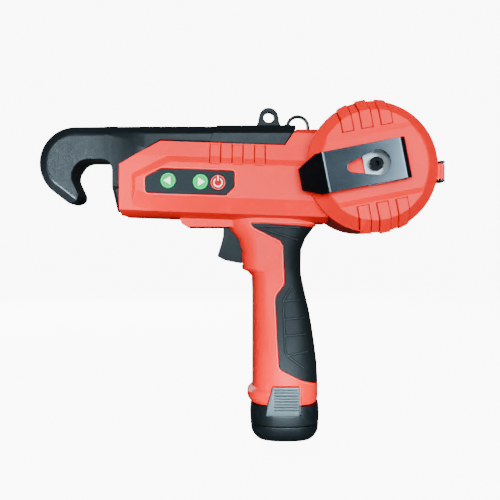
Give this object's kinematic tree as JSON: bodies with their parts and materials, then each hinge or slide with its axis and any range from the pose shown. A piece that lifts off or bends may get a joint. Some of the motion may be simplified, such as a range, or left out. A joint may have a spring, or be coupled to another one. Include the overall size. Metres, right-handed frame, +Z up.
{
  "type": "electric vine tying tool",
  "caption": "Pistol-shaped cordless tool with a downward-open hook nose that wraps, twists and cuts binding wire, fed from a covered side reel.",
  "frame": {"origin": "centre of the battery pack's flat foot", "axes": "-X towards the hook nose, +X towards the reel, -Y towards the reel cover and buttons, +Z up from the battery foot through the handle to the barrel"},
  "size_m": [0.2877, 0.0785, 0.2415],
  "materials": {
    "red_abs": "fine-textured moulded ABS",
    "black_nylon": "glass-filled nylon, slightly satin",
    "grip_rubber": "soft overmoulded elastomer",
    "slate_plastic": "satin moulded plastic",
    "metal_parts": "brushed steel",
    "black_screw": "black oxide",
    "motor_cans": "zinc-plated cans",
    "gearbox_alloy": "die-cast",
    "green_button": "smooth",
    "red_button": "smooth",
    "circuit_board": "solder mask",
    "cell_jacket": "shrink-wrapped can",
    "contact_metal": "stamped",
    "tie_wire": "coated binding wire"
  },
  "bodies": {
    "tool": {"left_shell": "red_abs", "right_shell": "red_abs", "top_cover": "black_nylon", "lanyard_eyelet": "black_nylon", "tube_gland": "black_nylon", "nose_left": "black_nylon", "nose_right": "black_nylon", "cover_hinge_bracket": "black_nylon", "trigger_switch": "black_nylon", "terminal_block": "black_nylon", "spool_retainer": "black_nylon", "grip_overmould": "grip_rubber", "control_panel": "slate_plastic", "wire_guide_tube": "metal_parts", "wire_guide_track": "metal_parts", "feed_guide_tube": "metal_parts", "cover_hinge_pin": "metal_parts", "trigger_pin": "metal_parts", "trigger_spring": "metal_parts", "feed_frame": "metal_parts", "pressure_arm_pin": "metal_parts", "reel_axle": "metal_parts", "casing_screw_1": "metal_parts", "casing_screw_2": "metal_parts", "casing_screw_3": "metal_parts", "casing_screw_4": "metal_parts", "casing_screw_5": "metal_parts", "nose_screw_1": "metal_parts", "nose_screw_2": "metal_parts", "twist_motor": "motor_cans", "twist_gearbox": "motor_cans", "feed_motor": "motor_cans", "feed_gearbox": "gearbox_alloy", "button_board": "circuit_board", "main_board": "circuit_board"},
    "cover": {"reel_cover": "red_abs", "belt_clip": "metal_parts", "belt_clip_screw": "black_screw"},
    "spool": {"wire_spool": "slate_plastic", "wire_winding": "tie_wire"},
    "twister": {"twister_head": "metal_parts"},
    "cutter": {"cutter_blade": "metal_parts"},
    "drive_roller": {"drive_roller": "metal_parts"},
    "pressure_arm": {"pressure_arm": "metal_parts"},
    "pressure_roller": {"pressure_roller": "metal_parts"},
    "trigger": {"trigger": "slate_plastic"},
    "switch_plunger": {"switch_plunger": "red_button"},
    "forward_button": {"forward_button": "green_button"},
    "reverse_button": {"reverse_button": "green_button"},
    "power_button": {"power_button": "red_button"},
    "battery": {"battery_base": "black_nylon", "battery_body": "black_nylon", "battery_contacts": "contact_metal", "battery_cell_1": "cell_jacket", "battery_cell_2": "cell_jacket", "battery_cell_3": "cell_jacket"},
    "latch_left": {"battery_latch_left": "slate_plastic"},
    "latch_right": {"battery_latch_right": "slate_plastic"}
  },
  "joints": [
    {"name": "cover_hinge", "type": "hinge", "parent": "tool", "child": "cover", "pos_m": [0.1071, -0.029, 0.1907], "axis": [0, 0, 1], "range_deg": [0, 110]},
    {"name": "spool_spin", "type": "hinge", "parent": "tool", "child": "spool", "pos_m": [0.059, 0, 0.1938], "axis": [0, 1, 0], "continuous": true},
    {"name": "twister_spin", "type": "hinge", "parent": "tool", "child": "twister", "pos_m": [-0.11, 0, 0.1858], "axis": [1, 0, 0], "continuous": true},
    {"name": "cutter_stroke", "type": "slide", "parent": "tool", "child": "cutter", "axis": [0, 0, -1], "range_m": [0, 0.003], "stiffness_N_per_m": 300, "springref_m": -0.002},
    {"name": "drive_roller_spin", "type": "hinge", "parent": "tool", "child": "drive_roller", "pos_m": [-0.022, 0, 0.2009], "axis": [0, 1, 0], "continuous": true},
    {"name": "pressure_arm_lift", "type": "hinge", "parent": "tool", "child": "pressure_arm", "pos_m": [-0.032, 0, 0.2147], "axis": [0, -1, 0], "range_deg": [0, 6], "stiffness_Nm_per_rad": 0.6, "springref_deg": -8.59},
    {"name": "pressure_roller_spin", "type": "hinge", "parent": "pressure_arm", "child": "pressure_roller", "pos_m": [-0.022, 0, 0.2147], "axis": [0, 1, 0], "continuous": true},
    {"name": "trigger_pull", "type": "hinge", "parent": "tool", "child": "trigger", "pos_m": [-0.037, 0, 0.1583], "axis": [0, -1, 0], "range_deg": [0, 10], "stiffness_Nm_per_rad": 0.5, "springref_deg": -5.73},
    {"name": "plunger_push", "type": "slide", "parent": "tool", "child": "switch_plunger", "axis": [1, 0, 0], "range_m": [0, 0.0029]},
    {"name": "forward_button_press", "type": "slide", "parent": "tool", "child": "forward_button", "axis": [0, 1, 0], "range_m": [0, 0.0012], "stiffness_N_per_m": 600, "springref_m": -0.0006},
    {"name": "reverse_button_press", "type": "slide", "parent": "tool", "child": "reverse_button", "axis": [0, 1, 0], "range_m": [0, 0.0012], "stiffness_N_per_m": 600, "springref_m": -0.0006},
    {"name": "power_button_press", "type": "slide", "parent": "tool", "child": "power_button", "axis": [0, 1, 0], "range_m": [0, 0.0012], "stiffness_N_per_m": 600, "springref_m": -0.0006},
    {"name": "battery_slide", "type": "slide", "parent": "tool", "child": "battery", "axis": [0, 0, -1], "range_m": [0, 0.08]},
    {"name": "latch_left_press", "type": "slide", "parent": "battery", "child": "latch_left", "axis": [0, 1, 0], "range_m": [0, 0.0012], "stiffness_N_per_m": 800, "springref_m": -0.0008},
    {"name": "latch_right_press", "type": "slide", "parent": "battery", "child": "latch_right", "axis": [0, -1, 0], "range_m": [0, 0.0012], "stiffness_N_per_m": 800, "springref_m": -0.0008}
  ],
  "couplings": [
    {"joint": "pressure_roller_spin", "follows": "drive_roller_spin", "ratio": -1},
    {"joint": "plunger_push", "follows": "trigger_pull", "m_per_rad": 0.0165}
  ]
}
